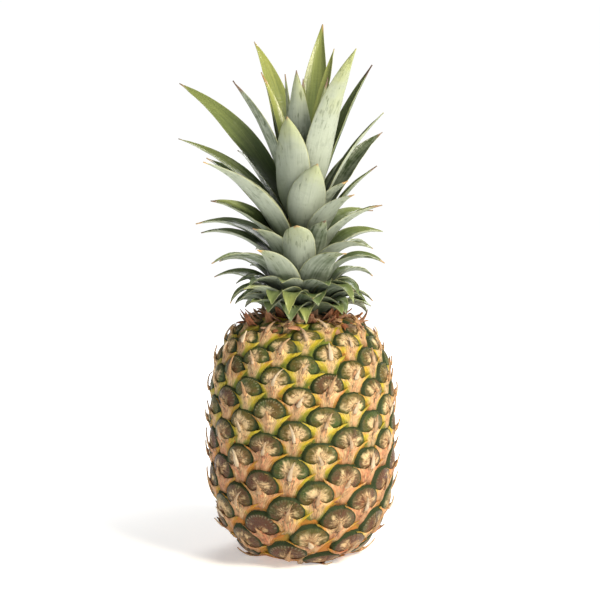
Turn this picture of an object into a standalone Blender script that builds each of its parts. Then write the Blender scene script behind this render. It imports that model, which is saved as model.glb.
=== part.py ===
"""A fresh pineapple standing on its own base.

It is modelled in metres with +Z up. The origin is the middle of the flat spot it stands on, and
-Y is its front. It has three kinds of piece, each an object of its own in the collection
"pineapple":

- fruit: the whole fruit, grown as one piece, with its eyes as low domes on a spiral
- crown_stem: the short tapering stem that carries the crown
- leaf_01 to leaf_58: the crown's leaves, from the lowest to the one in its heart

Azimuths are in degrees from the front, and grow towards +X. A lean is measured from upright, so a
leaf with a lean of 90 degrees lies level and one with 180 degrees hangs straight down.
"""

from dataclasses import dataclass, replace
from math import atan2, cos, degrees, pi, radians, sin

import bmesh
import bpy
import numpy as np
from mathutils import Matrix, Vector

MM = 0.001

# The fruit: a barrel whose two halves are superellipses that meet at its widest level.
FRUIT_RADIUS = 59.7 * MM
FRUIT_HEIGHT = 158 * MM
WIDEST_LEVEL = 73 * MM
LOWER_FULLNESS = 2.8
UPPER_FULLNESS = 3.3
REST_RADIUS = 26 * MM
FRUIT_SEGMENTS = 72
FRUIT_RINGS = 30

# The eyes: each follows the last one round by the spiral's turn, from the top down. They share the
# skin out by area, and grow towards the base.
EYE_AREA = 424 * MM * MM
EYE_GROWTH = 0.31
EYE_TURN = 137.265
TOP_EYE_AZIMUTH = 195.0
TOP_EYE_SHARE = 0.23
EYE_RADIUS = 11.5 * MM
EYE_RISE = 2.0 * MM

# The crown's stem stands on the fruit, and tapers to the growing point.
GAP = 0.3 * MM
STEM_LOW = FRUIT_HEIGHT + GAP
STEM_HIGH = 244 * MM
STEM_LOW_RADIUS = 19 * MM
STEM_HIGH_RADIUS = 5.0 * MM
STEM_SEGMENTS = 24

# The leaves follow the same spiral up the stem. The front one is the broad leaf in the middle.
LEAVES = 58
LEAF_TURN = 137.5
FRONT_LEAF = 39
LOWEST_FOOT = STEM_LOW + 0.8 * MM
HIGHEST_FOOT = STEM_HIGH - 4 * MM
LEAF_CLEARANCE = 1.6 * MM
LEAF_THICKNESS = 0.8 * MM
LEAF_ROWS = 8
TIP_HALF_WIDTH = 0.4 * MM
GUTTER_SHARE = 0.7
ROLL_SHARE = 0.5


@dataclass(frozen=True)
class Leaf:
    """One crown leaf, with lengths in millimetres and angles in degrees.

    index counts the leaves from the lowest. The blade leans from lean at its base to tip_lean. It is
    widest at the share widest of its length, and a higher fullness keeps it broad further on. A leaf
    with a sweep curves sideways, and one with a roll turns its upper face to the side. turn moves it
    round from its place on the spiral.
    """

    index: int
    length: float
    half_width: float
    base_share: float
    lean: float
    tip_lean: float
    widest: float
    fullness: float
    sweep: float = 0.0
    roll: float = 0.0
    gutter: float = 24.0
    turn: float = 0.0


# The leaf's shape changes steadily up the crown, through these.
STAGES = (
    Leaf(0, length=32, half_width=9.5, base_share=0.72, lean=24, tip_lean=145, widest=0.22, fullness=1.5),
    Leaf(9, length=38, half_width=10.5, base_share=0.73, lean=24, tip_lean=125, widest=0.23, fullness=1.5),
    Leaf(17, length=46, half_width=11.0, base_share=0.73, lean=26, tip_lean=108, widest=0.25, fullness=1.5),
    Leaf(25, length=55, half_width=11.5, base_share=0.70, lean=28, tip_lean=94, widest=0.26, fullness=1.6),
    Leaf(33, length=66, half_width=12.0, base_share=0.62, lean=27, tip_lean=76, widest=0.28, fullness=1.6),
    Leaf(41, length=86, half_width=11.5, base_share=0.55, lean=24, tip_lean=56, widest=0.32, fullness=1.7),
    Leaf(47, length=106, half_width=11.0, base_share=0.42, lean=17, tip_lean=38, widest=0.36, fullness=1.9),
    Leaf(52, length=100, half_width=9.5, base_share=0.36, lean=9, tip_lean=22, widest=0.38, fullness=1.9),
    Leaf(57, length=70, half_width=4.5, base_share=0.42, lean=3, tip_lean=5, widest=0.38, fullness=1.7),
)

# Leaves that grew their own way: only what differs from the steady change.
OWN_WAYS = {
    0: dict(turn=-34, length=28, half_width=8.0, lean=30, tip_lean=165),
    2: dict(turn=3, length=38, half_width=10.0, lean=28, tip_lean=100),
    3: dict(length=32, tip_lean=140),
    4: dict(turn=20, length=53, tip_lean=115, roll=15),
    5: dict(turn=-15, length=36, half_width=9.5, lean=26, tip_lean=168, fullness=1.5),
    7: dict(turn=8, length=36, half_width=10.0, lean=34, tip_lean=155),
    8: dict(turn=-14, length=36, half_width=9.5, lean=28, tip_lean=162, fullness=1.4),
    10: dict(turn=-3, length=48, half_width=12.0, lean=24, tip_lean=78, fullness=1.8),
    11: dict(length=38, tip_lean=128),
    12: dict(length=50, tip_lean=114, roll=15),
    13: dict(length=40, half_width=12.5, lean=24, tip_lean=84, sweep=22, fullness=1.8),
    15: dict(length=55, lean=32, tip_lean=118),
    16: dict(length=44, half_width=11.0, tip_lean=122, roll=-10),
    18: dict(turn=3, length=42, half_width=11.5, lean=26, tip_lean=50, widest=0.45, fullness=3.0),
    20: dict(length=60, half_width=10.0, tip_lean=101, roll=12),
    21: dict(turn=13, length=43, half_width=12.0, tip_lean=112),
    23: dict(turn=-5, length=38, lean=26, tip_lean=74),
    24: dict(length=46, half_width=12.5, tip_lean=98, roll=-15),
    25: dict(turn=18, length=68, half_width=10.0, lean=34, tip_lean=104, roll=15),
    26: dict(turn=10, length=35, half_width=10.4, lean=26, tip_lean=62),
    28: dict(length=60, half_width=13.5, tip_lean=80, roll=28),
    29: dict(length=53, half_width=10.5, lean=31, tip_lean=78, roll=-10),
    31: dict(turn=-28, length=88, half_width=11.0, lean=29, tip_lean=74),
    32: dict(turn=-2, length=48, half_width=11.0, lean=26, tip_lean=96, roll=-15),
    33: dict(length=78, half_width=12.0, lean=25, tip_lean=62, roll=22),
    34: dict(turn=10, length=47, half_width=11.0, lean=28, tip_lean=72),
    36: dict(turn=-10, length=53, half_width=9.0, lean=24, tip_lean=56),
    37: dict(turn=-5, length=58, half_width=7.0, lean=26, tip_lean=54, roll=-15),
    39: dict(turn=5, length=46, half_width=13.5, lean=32, tip_lean=16, widest=0.42, fullness=2.2, sweep=18),
    40: dict(turn=-20, length=82, half_width=9.5, lean=20, tip_lean=56, roll=-35),
    41: dict(turn=-13, length=93, half_width=8.0, lean=32, tip_lean=71, roll=25),
    42: dict(turn=8, length=36, half_width=9.0, lean=20, tip_lean=60),
    44: dict(turn=8, length=68, half_width=13.5, base_share=0.37, lean=16, tip_lean=22, fullness=3.0, sweep=8),
    45: dict(turn=-5, length=82, half_width=6.5, lean=21, tip_lean=45),
    46: dict(length=125, half_width=10.0, lean=27, tip_lean=60, roll=35),
    47: dict(turn=15, length=112, half_width=12.0, lean=12, tip_lean=39, fullness=2.0),
    48: dict(turn=8, length=137, half_width=12.0, lean=15.5, tip_lean=25),
    49: dict(turn=-8, length=90, half_width=10.5, lean=11, tip_lean=38),
    50: dict(turn=28, length=100, half_width=9.0, lean=14.5, tip_lean=30, roll=-12),
    51: dict(length=128, half_width=10.0, lean=10, tip_lean=44),
    52: dict(turn=4, length=84, half_width=10.0, lean=6, tip_lean=15),
    53: dict(turn=15, length=104, half_width=7.0, lean=8, tip_lean=20),
    54: dict(turn=-22, length=86, half_width=8.0, lean=7, tip_lean=24),
    55: dict(turn=20, length=76),
    57: dict(turn=-15, length=75),
}


def superellipse(share, fullness):
    """The radius, as a share of the widest, at this share of the half height."""
    return (1 - share**fullness) ** (1 / fullness)


def fruit_outline(points):
    """Radii, heights and lengths along the fruit's outline, evenly spaced from the top to the base.

    The lower half would close below the floor: the plane of the base cuts it at REST_RADIUS.
    """
    upper = FRUIT_HEIGHT - WIDEST_LEVEL
    lower = WIDEST_LEVEL / superellipse(REST_RADIUS / FRUIT_RADIUS, LOWER_FULLNESS)
    rise = np.sin(np.linspace(pi / 2, 0, 2000))
    fall = np.sin(np.linspace(0, pi / 2, 2000)) * WIDEST_LEVEL / lower
    radius = np.concatenate([superellipse(rise, UPPER_FULLNESS), superellipse(fall, LOWER_FULLNESS)])
    height = np.concatenate([rise * upper, -fall * lower]) + WIDEST_LEVEL
    radius = radius * FRUIT_RADIUS
    along = np.concatenate([[0], np.cumsum(np.hypot(np.diff(radius), np.diff(height)))])
    even = np.linspace(0, along[-1], points)
    return np.interp(even, along, radius), np.interp(even, along, height), even


def eye_places():
    """The azimuth in radians and the length along the outline of each eye, from the top down."""
    radius, height, along = fruit_outline(2000)
    share = EYE_AREA * (1 + EYE_GROWTH * (1 - height / WIDEST_LEVEL))
    eyes_per_metre = 2 * pi * radius / share
    middle = (eyes_per_metre[1:] + eyes_per_metre[:-1]) / 2
    counted = np.concatenate([[0], np.cumsum(middle * np.diff(along))])
    number = np.arange(int(counted[-1] - TOP_EYE_SHARE))
    place = np.interp(number + TOP_EYE_SHARE, counted, along)
    return np.radians(TOP_EYE_AZIMUTH - number * EYE_TURN), place


def eye_rise(azimuth, radius, along, eyes):
    """How far the skin stands out at one point: a low dome over each eye, level in between."""
    eye_azimuth, eye_along = eyes
    turn = (azimuth - eye_azimuth + pi) % (2 * pi) - pi
    distance = np.hypot(turn * radius, along - eye_along).min()
    return EYE_RISE * max(0.0, 1 - (distance / EYE_RADIUS) ** 2)


def front_to_world(azimuth):
    """The unit vector that points outwards at this azimuth, in radians from the front."""
    return Vector((sin(azimuth), -cos(azimuth), 0))


def add_object(name, mesh, material, collection):
    """Puts a mesh in the scene under this name, shaded smooth and with its material."""
    mesh.materials.append(material)
    mesh.shade_smooth()
    piece = bpy.data.objects.new(name, mesh)
    collection.objects.link(piece)
    return piece


def plain_material(name, colour, roughness):
    """A Principled BSDF with one colour, given as linear red, green and blue."""
    material = bpy.data.materials.new(name)
    material.use_nodes = True
    shader = material.node_tree.nodes["Principled BSDF"]
    shader.inputs["Base Color"].default_value = (*colour, 1)
    shader.inputs["Roughness"].default_value = roughness
    shader.inputs["Metallic"].default_value = 0.0
    return material


def make_fruit(collection):
    """The fruit: a sphere whose rings are moved to the outline, with the eyes raised on it."""
    shape = bmesh.new()
    bmesh.ops.create_uvsphere(
        shape, u_segments=FRUIT_SEGMENTS, v_segments=FRUIT_RINGS, radius=1
    )
    radii, heights, along = fruit_outline(FRUIT_RINGS)
    slope = np.arctan2(-np.gradient(heights), np.gradient(radii))
    eyes = eye_places()
    for vertex in shape.verts:
        from_top = degrees(atan2(vertex.co.xy.length, vertex.co.z))
        ring = round(from_top / 180 * FRUIT_RINGS)
        if ring == FRUIT_RINGS:
            vertex.co = Vector((0, 0, 0))
            continue
        azimuth = atan2(vertex.co.x, -vertex.co.y)
        rise = eye_rise(azimuth, radii[ring], along[ring], eyes)
        inside = 0 < ring < FRUIT_RINGS - 1 and radii[ring] > STEM_LOW_RADIUS + 8 * MM
        rise = rise if inside else 0.0
        outward = front_to_world(azimuth)
        normal = outward * sin(slope[ring]) + Vector((0, 0, cos(slope[ring])))
        vertex.co = outward * radii[ring] + Vector((0, 0, heights[ring])) + normal * rise
    mesh = bpy.data.meshes.new("fruit")
    shape.to_mesh(mesh)
    shape.free()
    skin = plain_material("pineapple_skin", (0.36, 0.25, 0.07), 0.6)
    return add_object("fruit", mesh, skin, collection)


def stem_radius(height):
    """The stem's radius at this height: it tapers a little faster towards the growing point."""
    share = (height - STEM_LOW) / (STEM_HIGH - STEM_LOW)
    return STEM_LOW_RADIUS + (STEM_HIGH_RADIUS - STEM_LOW_RADIUS) * share**1.15


def make_stem(collection):
    """The crown's stem, turned from its profile."""
    profile = bmesh.new()
    shoulder = STEM_HIGH - 1.5 * MM
    points = [(0, STEM_HIGH), (STEM_HIGH_RADIUS * 0.6, STEM_HIGH)]
    levels = np.linspace(shoulder, STEM_LOW, 7)
    points += [(stem_radius(level), level) for level in levels]
    points.append((0, STEM_LOW))
    row = [profile.verts.new((radius, 0, height)) for radius, height in points]
    for first, second in zip(row, row[1:]):
        profile.edges.new((first, second))
    mesh = bpy.data.meshes.new("crown_stem")
    profile.to_mesh(mesh)
    profile.free()
    flesh = plain_material("crown_stem", (0.42, 0.46, 0.22), 0.6)
    stem = add_object("crown_stem", mesh, flesh, collection)
    turned = stem.modifiers.new("Turned", "SCREW")
    turned.steps = STEM_SEGMENTS
    turned.render_steps = STEM_SEGMENTS
    turned.use_merge_vertices = True
    turned.merge_threshold = 0.00001
    return stem


def leaf_of(index):
    """The leaf with this number, counted from 0 at the bottom of the crown."""
    stations = [stage.index for stage in STAGES]
    values = {
        name: float(np.interp(index, stations, [getattr(stage, name) for stage in STAGES]))
        for name in ("length", "half_width", "base_share", "lean", "tip_lean", "widest", "fullness")
    }
    return replace(Leaf(index=index, **values), **OWN_WAYS.get(index, {}))


def leaf_half_width(leaf, share):
    """Half the leaf's width at this share of its length: broad low down, then tapering to the tip."""
    if share < leaf.widest:
        width = leaf.base_share + (1 - leaf.base_share) * sin(share / leaf.widest * pi / 2)
    else:
        width = 1 - ((share - leaf.widest) / (1 - leaf.widest)) ** leaf.fullness
    return max(TIP_HALF_WIDTH, leaf.half_width * MM * width)


def leaf_fold(leaf, share, base_radius):
    """How far each side of the gutter is folded up: at its base the leaf clasps the round stem."""
    clasp = leaf_half_width(leaf, 0) / base_radius / 2
    eased = min(1.0, share / GUTTER_SHARE)
    return clasp + (radians(leaf.gutter) - clasp) * eased


def leaf_foot(leaf):
    """Where the middle of the leaf's base stands, just clear of the stem."""
    share_up = leaf.index / (LEAVES - 1)
    height = LOWEST_FOOT + (HIGHEST_FOOT - LOWEST_FOOT) * share_up
    return Vector((0, stem_radius(height) + LEAF_CLEARANCE, height))


def leaf_directions(leaf, share):
    """The leaf's directions ahead and across at this share of its length."""
    lean = radians(leaf.lean + (leaf.tip_lean - leaf.lean) * share)
    sweep = radians(leaf.sweep) * share
    ahead = Vector((sin(sweep), cos(sweep) * sin(lean), cos(sweep) * cos(lean)))
    across = Vector((cos(sweep), -sin(sweep) * sin(lean), -sin(sweep) * cos(lean)))
    roll = radians(leaf.roll) * min(1.0, share / ROLL_SHARE)
    across.rotate(Matrix.Rotation(roll, 3, ahead))
    return ahead, across


def leaf_frames(leaf, rows):
    """The leaf's middle line, with its across and up directions, at each row from its base.

    They are in a local frame: X is across, Y is away from the stem and Z is up.
    """
    place = leaf_foot(leaf)
    step = leaf.length * MM / rows
    frames = []
    for row in range(rows + 1):
        ahead, across = leaf_directions(leaf, row / rows)
        frames.append((place, across, across.cross(ahead)))
        halfway, _ = leaf_directions(leaf, (row + 0.5) / rows)
        place = place + halfway * step
    return frames


def make_leaf(number, material, collection):
    """One leaf: a grid bent along its middle line and folded into a gutter, then given its thickness."""
    leaf = leaf_of(number)
    azimuth = radians((number - FRONT_LEAF) * LEAF_TURN + leaf.turn)
    frames = leaf_frames(leaf, LEAF_ROWS)
    blade = bmesh.new()
    bmesh.ops.create_grid(blade, x_segments=2, y_segments=LEAF_ROWS, size=1)
    to_world = Matrix.Rotation(azimuth - pi, 4, "Z")
    for vertex in blade.verts:
        side = round(vertex.co.x)
        row = round((vertex.co.y + 1) / 2 * LEAF_ROWS)
        place, across, up = frames[row]
        half_width = leaf_half_width(leaf, row / LEAF_ROWS)
        fold = leaf_fold(leaf, row / LEAF_ROWS, frames[0][0].y)
        point = place + across * (side * half_width * cos(fold))
        point += up * (abs(side) * half_width * sin(fold))
        vertex.co = to_world @ Vector((-point.x, point.y, point.z))
    mesh = bpy.data.meshes.new(f"leaf_{number + 1:02d}")
    blade.to_mesh(mesh)
    blade.free()
    piece = add_object(mesh.name, mesh, material, collection)
    blade_thickness = piece.modifiers.new("Thickness", "SOLIDIFY")
    blade_thickness.thickness = LEAF_THICKNESS
    blade_thickness.offset = 0
    return piece


def main():
    """Clears the scene and builds the pineapple."""
    for startup in list(bpy.data.objects):
        bpy.data.objects.remove(startup)
    collection = bpy.data.collections.new("pineapple")
    bpy.context.scene.collection.children.link(collection)
    make_fruit(collection)
    make_stem(collection)
    green = plain_material("crown_leaf", (0.16, 0.22, 0.12), 0.5)
    for number in range(LEAVES):
        make_leaf(number, green, collection)


main()
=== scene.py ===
"""The looks of a fresh pineapple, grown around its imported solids.

Everything is in metres in the frame's own axes: +Z is up and -Y is the pineapple's front. An
azimuth is measured from the front and grows towards +X.

- Fruit: its rind with the domed eyes, a fleshy bract and a papery tip on each eye, and the scar of
  the stalk underneath
- Crown: the leaves, the small leaves and dry scales at its foot, and the stem that carries them
- Studio: the floor, the lamps and the camera
"""

import ast
import logging
from dataclasses import dataclass, field, fields, replace
from enum import Enum
from math import cos, pi, radians, sin
from typing import Mapping, Sequence

import bpy
import numpy as np
from bpy.types import Material, Mesh, NodeSocket, Object
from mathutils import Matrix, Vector


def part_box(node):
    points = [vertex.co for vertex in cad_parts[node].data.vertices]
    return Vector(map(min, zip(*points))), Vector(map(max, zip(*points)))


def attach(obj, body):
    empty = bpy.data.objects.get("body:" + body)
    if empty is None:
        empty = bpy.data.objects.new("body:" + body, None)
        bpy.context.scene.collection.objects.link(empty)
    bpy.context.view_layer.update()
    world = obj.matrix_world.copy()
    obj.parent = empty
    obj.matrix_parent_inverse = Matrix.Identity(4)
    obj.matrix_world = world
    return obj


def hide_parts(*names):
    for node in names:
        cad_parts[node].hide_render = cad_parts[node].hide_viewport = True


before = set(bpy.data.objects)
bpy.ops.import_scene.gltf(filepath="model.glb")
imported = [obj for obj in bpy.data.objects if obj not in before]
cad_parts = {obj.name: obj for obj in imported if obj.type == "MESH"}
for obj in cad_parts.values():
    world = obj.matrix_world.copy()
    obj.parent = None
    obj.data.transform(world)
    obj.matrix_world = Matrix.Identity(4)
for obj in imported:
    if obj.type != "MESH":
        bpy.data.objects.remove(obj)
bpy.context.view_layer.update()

MM = 0.001
BODY = "root"
SEED = 7
log = logging.getLogger("pineapple")

Colour = tuple[float, float, float, float]
Value = NodeSocket | float | tuple
Sockets = dict[str, Value | str]
Array = np.ndarray


def linear(hex_colour: str) -> Colour:
    """Turns an sRGB colour into the linear one that a shader takes.

    Args:
        hex_colour: The colour as "#RRGGBB".

    Returns:
        Linear red, green, blue and an alpha of 1.
    """
    parts = [int(hex_colour[i : i + 2], 16) / 255 for i in (1, 3, 5)]
    light = [p / 12.92 if p <= 0.04045 else ((p + 0.055) / 1.055) ** 2.4 for p in parts]
    return (*light, 1.0)


class Growth:
    """A node tree that is written as formulas, for a geometry tree or a material alike."""

    SIGNS = {
        ast.Add: "ADD", ast.Sub: "SUBTRACT", ast.Mult: "MULTIPLY", ast.Div: "DIVIDE", ast.Pow: "POWER",
        ast.Gt: "GREATER_THAN",
    }
    CALLS = {
        "sin": "SINE", "cos": "COSINE", "sqrt": "SQRT", "abs": "ABSOLUTE", "fract": "FRACT",
        "min": "MINIMUM", "max": "MAXIMUM", "atan2": "ARCTAN2",
        "normalize": "NORMALIZE", "cross": "CROSS_PRODUCT",
    }
    # Functions with a node of their own: its kind, where the values go, its output and its settings.
    NODES = {
        "vec": ("ShaderNodeCombineXYZ", (0, 1, 2), 0, {}),
        "length": ("ShaderNodeVectorMath", (0,), 1, {"operation": "LENGTH"}),
        "smooth": ("ShaderNodeMapRange", (1, 2, 0), 0, {"interpolation_type": "SMOOTHSTEP"}),
        "noise": ("ShaderNodeTexNoise", ("Vector", "Scale"), 0, {}),
        "tint": ("ShaderNodeMix", (6, 7, 0), 2, {"data_type": "RGBA"}),
    }

    def __init__(self, tree: bpy.types.NodeTree) -> None:
        """Starts writing into an empty node tree."""
        self.tree = tree
        self.known: dict[str, Value] = {"pi": pi, "mm": MM}

    def add(self, kind: str, links: Mapping[int | str, Value] | None = None, **settings) -> bpy.types.Node:
        """Adds one node.

        Args:
            kind: The node's type.
            links: What each input takes: another node's output, or a plain value.
            settings: The node's own settings.

        Returns:
            The node.
        """
        node = self.tree.nodes.new(kind)
        for name, value in settings.items():
            setattr(node, name, value)
        for key, value in (links or {}).items():
            if isinstance(value, NodeSocket):
                self.tree.links.new(value, node.inputs[key])
            else:
                node.inputs[key].default_value = value
        return node

    def let(self, **formulas: Value | str) -> None:
        """Names values for later formulas: each is a formula, a plain value or an output."""
        for name, formula in formulas.items():
            self.known[name] = self.get(formula) if isinstance(formula, str) else formula

    def get(self, formula: str) -> Value:
        """Works out a formula.

        Args:
            formula: Plain arithmetic with the names given so far.

        Returns:
            A number, a vector or the output that carries it.
        """
        return self._solve(ast.parse(formula).body[0].value)

    def stored(self, name: str, vector: bool) -> NodeSocket:
        """Returns the output that reads a number or a vector stored on the mesh."""
        node = self.add("ShaderNodeAttribute", attribute_name=name)
        return node.outputs["Vector" if vector else "Fac"]

    def read(self, numbers: str, vectors: str = "") -> None:
        """Names stored values for later formulas, from a list of numbers and one of vectors."""
        self.let(**{name: self.stored(name, False) for name in numbers.split()})
        self.let(**{name: self.stored(name, True) for name in vectors.split()})

    def paint(self, ground: str, *coats: tuple[str, str]) -> Value:
        """Lays colours over a ground.

        Args:
            ground: The formula of the colour underneath.
            coats: Each colour, and the formula of the share that it covers.

        Returns:
            The output that carries the finished colour.
        """
        self.let(coat=ground)
        for colour, share in coats:
            self.let(coat=f"tint(coat, {colour}, {share})")
        return self.known["coat"]

    def relief(self, height: str, depth: float) -> Value:
        """Returns the normal of a surface that stands out by a formula times a depth in metres."""
        return self.add("ShaderNodeBump", {"Height": self.get(height), "Distance": depth}).outputs[0]

    def _solve(self, part: ast.expr) -> Value:
        """Works out one part of a formula and returns its value or output."""
        if isinstance(part, ast.Constant):
            return float(part.value)
        if isinstance(part, ast.Name):
            return self.known[part.id]
        if isinstance(part, ast.Attribute):
            parts = self.add("ShaderNodeSeparateXYZ", {0: self._solve(part.value)})
            return parts.outputs["xyz".index(part.attr)]
        if isinstance(part, ast.UnaryOp):
            return self._combine("MULTIPLY", [self._solve(part.operand), -1.0])
        if isinstance(part, ast.BinOp):
            sides = [self._solve(part.left), self._solve(part.right)]
            return self._combine(self.SIGNS[type(part.op)], sides)
        if isinstance(part, ast.Compare):
            sides = [self._solve(part.left), self._solve(part.comparators[0])]
            return self._combine(self.SIGNS[type(part.ops[0])], sides)
        return self._call(part.func.id, [self._solve(argument) for argument in part.args])

    def _is_vector(self, value: Value) -> bool:
        """Whether a value has three parts."""
        return isinstance(value, tuple) or getattr(value, "type", "") == "VECTOR"

    def _combine(self, sign: str, values: list[Value]) -> Value:
        """Joins numbers, vectors, or a vector and a number with an operation, and returns the output."""
        vectors = [self._is_vector(value) for value in values]
        if any(vectors) and not all(vectors):
            vector, number = sorted(values, key=self._is_vector, reverse=True)
            return self.add("ShaderNodeVectorMath", {0: vector, 3: number}, operation="SCALE").outputs[0]
        kind = "ShaderNodeVectorMath" if any(vectors) else "ShaderNodeMath"
        return self.add(kind, dict(enumerate(values)), operation=sign).outputs[0]

    def _call(self, name: str, values: list[Value]) -> Value:
        """Works out a named function and returns its output."""
        if name in self.CALLS:
            return self._combine(self.CALLS[name], values)
        kind, inputs, output, settings = self.NODES[name]
        return self.add(kind, dict(zip(inputs, values)), **settings).outputs[output]


class GeometryGrowth(Growth):
    """A Geometry Nodes tree with named inputs, and the modifier that runs it on an object."""

    def __init__(self, name: str, inputs: Mapping[str, float]) -> None:
        """Makes the tree with its geometry input and its named number inputs.

        Args:
            name: The tree's name.
            inputs: Each input's name in the formulas and its default, in metres and radians.
        """
        super().__init__(bpy.data.node_groups.new(name, "GeometryNodeTree"))
        sockets = self.tree.interface
        sockets.new_socket(name="Geometry", in_out="INPUT", socket_type="NodeSocketGeometry")
        for label, default in inputs.items():
            socket = sockets.new_socket(name=label, in_out="INPUT", socket_type="NodeSocketFloat")
            socket.default_value = default
        sockets.new_socket(name="Geometry", in_out="OUTPUT", socket_type="NodeSocketGeometry")
        self.entry = self.add("NodeGroupInput")
        self.let(**{label: self.entry.outputs[label] for label in inputs})

    def stored(self, name: str, vector: bool) -> NodeSocket:
        """Returns the output that reads a stored number or vector."""
        kind = "FLOAT_VECTOR" if vector else "FLOAT"
        return self.add("GeometryNodeInputNamedAttribute", {0: name}, data_type=kind).outputs[0]

    def store(self, geometry: Value, name: str, value: Value) -> Value:
        """Stores a value on each point of the geometry, and returns the geometry."""
        kind = "FLOAT_VECTOR" if self._is_vector(value) else "FLOAT"
        links = {"Geometry": geometry, "Name": name, "Value": value}
        return self.add("GeometryNodeStoreNamedAttribute", links, data_type=kind, domain="POINT").outputs[0]

    def grid_on_points(self, grid: tuple[int, int, int]) -> Value:
        """Puts a closed grid on each point, and stores each grid point's place in a cube of -1 to 1.

        Args:
            grid: How many points across, along and through.

        Returns:
            The geometry.
        """
        counts = dict(zip(("Vertices X", "Vertices Y", "Vertices Z"), grid))
        shape = self.add("GeometryNodeMeshCube", {"Size": (2, 2, 2), **counts}).outputs[0]
        shape = self.store(shape, "place", self.add("GeometryNodeInputPosition").outputs[0])
        links = {"Points": self.entry.outputs["Geometry"], "Instance": shape}
        placed = self.add("GeometryNodeInstanceOnPoints", links).outputs[0]
        return self.add("GeometryNodeRealizeInstances", {0: placed}).outputs[0]

    def end(self, geometry: Value, position: str, material: Material) -> None:
        """Ends the tree: every point moved to the formula's position, shaded smooth, in its material."""
        links = {"Geometry": geometry, "Position": self.get(position)}
        moved = self.add("GeometryNodeSetPosition", links).outputs[0]
        smooth = self.add("GeometryNodeSetShadeSmooth", {0: moved}).outputs[0]
        real = self.add("GeometryNodeRealizeInstances", {0: smooth}).outputs[0]
        dressed = self.add("GeometryNodeSetMaterial", {0: real, "Material": material}).outputs[0]
        self.add("NodeGroupOutput", {0: dressed})

    def grow_on(self, piece: Object, values: Mapping[str, float]) -> None:
        """Runs the tree on an object.

        Args:
            piece: The object that gets the modifier.
            values: The value of each named input that isn't left at its default.
        """
        modifier = piece.modifiers.new(self.tree.name, "NODES")
        modifier.node_group = self.tree
        for item in self.tree.interface.items_tree:
            if item.in_out == "INPUT" and item.name in values:
                modifier[item.identifier] = float(values[item.name])


def settle(pieces: Sequence[Object]) -> None:
    """Makes what each piece's modifiers give its plain mesh, and removes the modifiers."""
    bpy.context.view_layer.update()
    graph = bpy.context.evaluated_depsgraph_get()
    meshes = [bpy.data.meshes.new_from_object(piece.evaluated_get(graph)) for piece in pieces]
    for piece, mesh in zip(pieces, meshes):
        piece.modifiers.clear()
        piece.data = mesh


def new_piece(name: str, data: bpy.types.ID | None = None) -> Object:
    """Puts an object of this name in the scene, around its data or an empty mesh."""
    piece = bpy.data.objects.new(name, data or bpy.data.meshes.new(name))
    bpy.context.scene.collection.objects.link(piece)
    return piece


def mesh_of(name: str, points: Array, faces: Sequence, material: Material | None = None) -> Mesh:
    """Makes a smooth mesh from its points and faces, in its material if it has one."""
    mesh = bpy.data.meshes.new(name)
    mesh.from_pydata([tuple(point) for point in points], [], [tuple(face) for face in faces])
    mesh.shade_smooth()
    if material:
        mesh.materials.append(material)
    return mesh


def keep_values(mesh: Mesh, name: str, values: Array, domain: str = "POINT") -> None:
    """Stores one number or one vector on each point or face of a mesh."""
    vector = values.ndim == 2
    attribute = mesh.attributes.new(name, "FLOAT_VECTOR" if vector else "FLOAT", domain)
    attribute.data.foreach_set("vector" if vector else "value", values.astype(np.float32).ravel())


def stand(azimuth: Array, radius: Array | float, height: Array | float) -> Array:
    """The points at these azimuths, distances from the axis and heights."""
    parts = (radius * np.sin(azimuth), -radius * np.cos(azimuth), height)
    return np.stack(np.broadcast_arrays(*parts), axis=1)


def bulge(share: Array | float, fullness: float) -> Array | float:
    """How far a superellipse reaches on one axis, at this share of the other: both run from 0 to 1."""
    return (1 - share**fullness) ** (1 / fullness)


def hand_over(piece: Object, node: str = "") -> None:
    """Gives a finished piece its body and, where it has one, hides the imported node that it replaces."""
    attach(piece, BODY)
    if node:
        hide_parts(node)
    log.info("%s: %d faces", piece.name, len(piece.data.polygons))


class Finish:
    """A material: what the real one is, and how its nodes show it. Its colours are sRGB hex values."""

    name = "finish"

    def dress(self, grow: Growth) -> Sockets:
        """Writes the pattern and returns what each socket of the shader takes, as a value or a formula."""
        raise NotImplementedError

    def material(self) -> Material:
        """Makes the material with its shader. The formulas know each colour by its field's name.

        Returns:
            The material.
        """
        made = bpy.data.materials.new(self.name)
        made.use_nodes = True
        shader = made.node_tree.nodes["Principled BSDF"]
        grow = Growth(made.node_tree)
        grow.let(object=grow.add("ShaderNodeTexCoord").outputs["Object"])
        grow.let(**{name: linear(value) for name, value in vars(self).items() if value.startswith("#")})
        for socket, value in self.dress(grow).items():
            value = grow.get(value) if isinstance(value, str) else value
            if isinstance(value, NodeSocket):
                made.node_tree.links.new(value, shader.inputs[socket])
            else:
                shader.inputs[socket].default_value = value
        return made


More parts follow.
